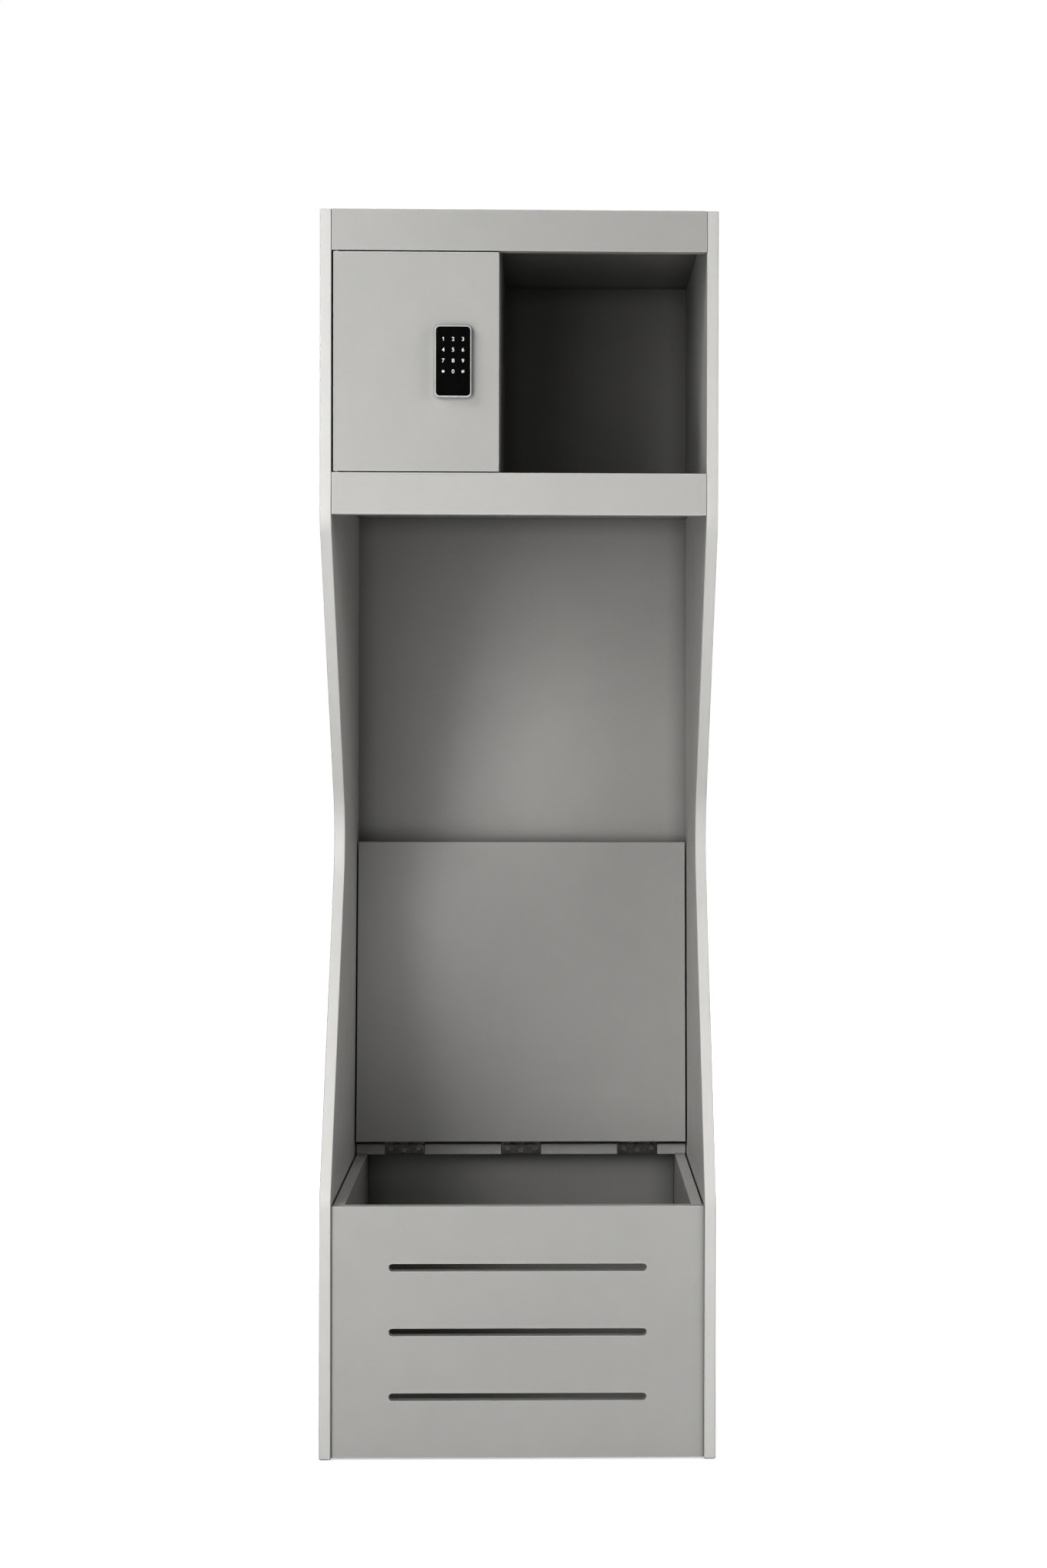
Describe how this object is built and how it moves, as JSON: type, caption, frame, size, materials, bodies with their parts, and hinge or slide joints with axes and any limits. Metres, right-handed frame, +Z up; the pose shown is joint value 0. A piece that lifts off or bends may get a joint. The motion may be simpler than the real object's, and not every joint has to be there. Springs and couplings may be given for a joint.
{
  "type": "storage locker",
  "caption": "Tall open-front storage locker: hourglass side panels, keypad-locked cabinet beside an open cubby, open hanging bay, and a bench box with a slotted front and a hinged seat lid.",
  "frame": {"origin": "centre of the locker's footprint, at the floor", "axes": "+Z up, the open front faces -Y, +X to the right as seen from the front"},
  "size_m": [0.61, 0.621, 1.918],
  "materials": {
    "painted_board": "satin light-grey paint over fibreboard, edges eased",
    "painted_back": "satin light-grey paint over thin fibreboard",
    "hinge_bronze": "dark bronze-plated steel, satin",
    "hinge_screw": "dark plated countersunk screws with cross recess",
    "zinc_steel": "zinc-plated steel",
    "silver_frame": "satin silver",
    "black_glass": "glossy black touch panel",
    "circuit_board": "green solder mask",
    "black_case": "fine-textured black moulding",
    "battery_wrap": "plain shrink wrap"
  },
  "bodies": {
    "root": {"back_panel": "painted_back", "bench_back_board": "painted_board", "bench_floor": "painted_board", "bench_front_panel": "painted_board", "bench_left_side": "painted_board", "bench_right_side": "painted_board", "cabinet_floor": "painted_board", "divider_panel": "painted_board", "door_hinge_lower_frame_blade": "zinc_steel", "door_hinge_lower_washer": "zinc_steel", "door_hinge_upper_frame_blade": "zinc_steel", "door_hinge_upper_washer": "zinc_steel", "hinge_rail": "painted_board", "left_side_panel": "painted_board", "lid_hinge_centre_pin": "hinge_bronze", "lid_hinge_centre_rail_leaf": "hinge_bronze", "lid_hinge_left_pin": "hinge_bronze", "lid_hinge_left_rail_leaf": "hinge_bronze", "lid_hinge_right_pin": "hinge_bronze", "lid_hinge_right_rail_leaf": "hinge_bronze", "middle_rail": "painted_board", "rail_screw_centre_1": "hinge_screw", "rail_screw_centre_2": "hinge_screw", "rail_screw_centre_3": "hinge_screw", "rail_screw_left_1": "hinge_screw", "rail_screw_left_2": "hinge_screw", "rail_screw_left_3": "hinge_screw", "rail_screw_right_1": "hinge_screw", "rail_screw_right_2": "hinge_screw", "rail_screw_right_3": "hinge_screw", "right_side_panel": "painted_board", "strike_plate": "zinc_steel", "strike_screw_lower": "zinc_steel", "strike_screw_upper": "zinc_steel", "top_panel": "painted_board", "top_rail": "painted_board"},
    "lid": {"bench_lid": "painted_board", "lid_hinge_left_lid_leaf": "hinge_bronze", "lid_hinge_centre_lid_leaf": "hinge_bronze", "lid_hinge_right_lid_leaf": "hinge_bronze"},
    "door": {"cabinet_door": "painted_board", "door_hinge_upper_door_blade": "zinc_steel", "door_hinge_lower_door_blade": "zinc_steel", "keypad_bezel": "silver_frame", "keypad_touch_panel": "black_glass", "keypad_circuit_board": "circuit_board", "lock_rear_case": "black_case", "battery_cover": "black_case", "battery_lower": "battery_wrap", "battery_upper": "battery_wrap", "lock_screw_lower": "zinc_steel", "lock_screw_upper": "zinc_steel", "latch_motor": "zinc_steel"},
    "latch_bolt": {"latch_bolt": "zinc_steel"},
    "latch_crank": {"latch_crank": "zinc_steel"}
  },
  "joints": [
    {"name": "lid_swing", "type": "hinge", "parent": "root", "child": "lid", "pos_m": [0, 0.225, 0.4105], "axis": [1, 0, 0], "range_deg": [0, 95.7]},
    {"name": "door_swing", "type": "hinge", "parent": "root", "child": "door", "pos_m": [-0.28, -0.295, 1.685], "axis": [0, 0, -1], "range_deg": [0, 105]},
    {"name": "latch_slide", "type": "slide", "parent": "door", "child": "latch_bolt", "axis": [1, 0, 0], "range_m": [0, 0.00995]},
    {"name": "latch_crank_turn", "type": "hinge", "parent": "door", "child": "latch_crank", "pos_m": [-0.09, -0.2672, 1.6807], "axis": [0, 1, 0], "range_deg": [0, 100]}
  ],
  "couplings": [
    {"joint": "latch_crank_turn", "follows": "latch_slide", "rad_per_m": 175.25}
  ]
}
